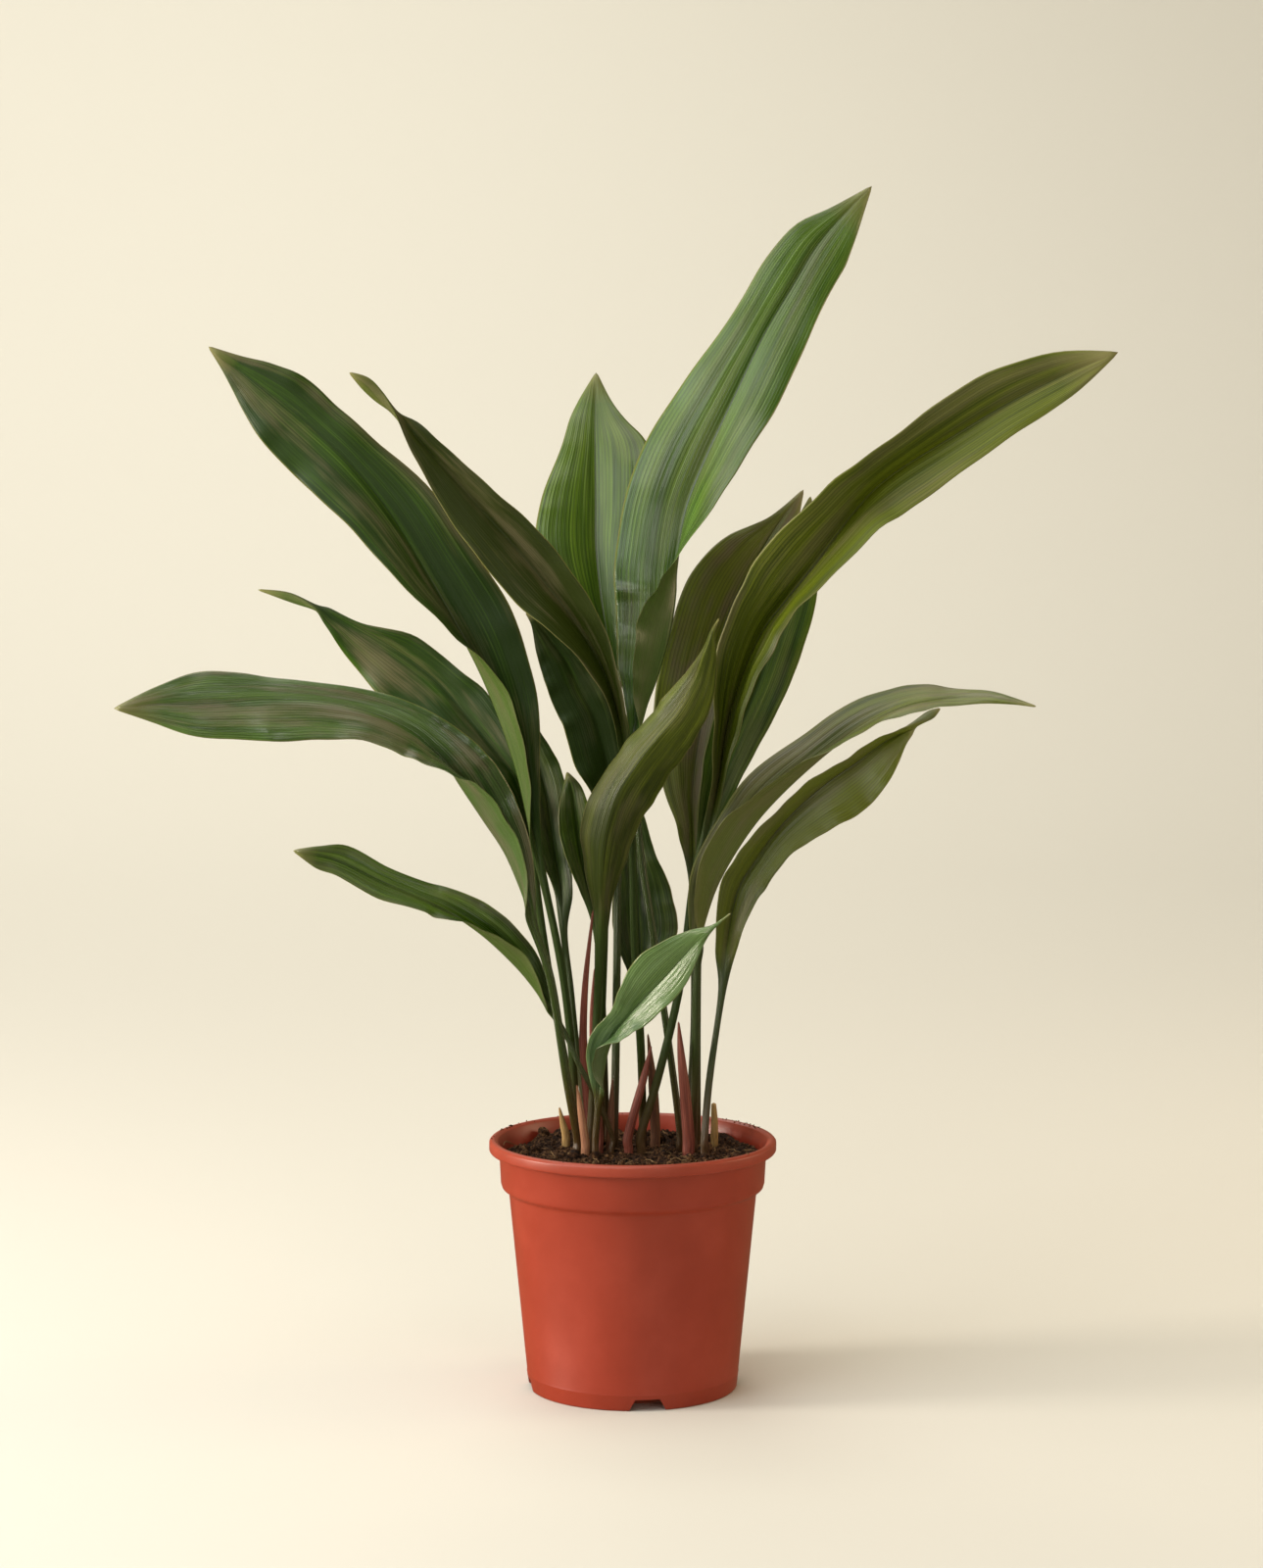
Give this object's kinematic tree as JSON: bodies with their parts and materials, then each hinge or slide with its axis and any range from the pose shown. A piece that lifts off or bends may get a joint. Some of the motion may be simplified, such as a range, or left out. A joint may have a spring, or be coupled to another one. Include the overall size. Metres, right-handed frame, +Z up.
{
  "type": "potted cast iron plant",
  "caption": "Cast iron plant with long arching strap leaves on thin stalks, rooted in a round plastic nursery pot filled with dark soil",
  "frame": {"origin": "centre of the flat pad under the pot, on the pot's axis at the level that it stands on", "axes": "+Z up along the pot's axis, -Y towards the front, +X to the right seen from the front"},
  "size_m": [0.5688, 0.2308, 0.7134],
  "materials": {
    "pot_plastic": "satin moulded polypropylene, terracotta colour",
    "potting_soil": "dry crumbly peat",
    "rhizome": "rough, scaly",
    "leaf_green": "waxy, half gloss, ribbed lengthwise",
    "scale_red": "papery, dull",
    "dry_husk": "dry, fibrous"
  },
  "bodies": {
    "root": {"pot": "pot_plastic", "soil": "potting_soil", "rhizome": "rhizome", "leaf_left_high": "leaf_green", "leaf_left_twisted": "leaf_green", "leaf_centre_shaded": "leaf_green", "leaf_back_upright": "leaf_green", "leaf_right_tallest": "leaf_green", "leaf_right_long": "leaf_green", "leaf_right_behind": "leaf_green", "leaf_right_inner": "leaf_green", "leaf_front_pointed": "leaf_green", "leaf_left_small": "leaf_green", "leaf_front_glossy": "leaf_green", "leaf_left_back": "leaf_green", "leaf_left_level": "leaf_green", "leaf_left_hidden": "leaf_green", "leaf_centre_small": "leaf_green", "leaf_centre_dark": "leaf_green", "leaf_right_arched": "leaf_green", "leaf_right_low": "leaf_green", "red_spear": "scale_red", "red_scale_left": "scale_red", "pale_scale_left": "scale_red", "brown_scale_centre": "scale_red", "brown_scale_right": "scale_red", "purple_scale_centre": "scale_red", "red_scale_right": "scale_red", "dry_stub_left": "dry_husk", "dry_stub_right": "dry_husk"}
  },
  "joints": []
}
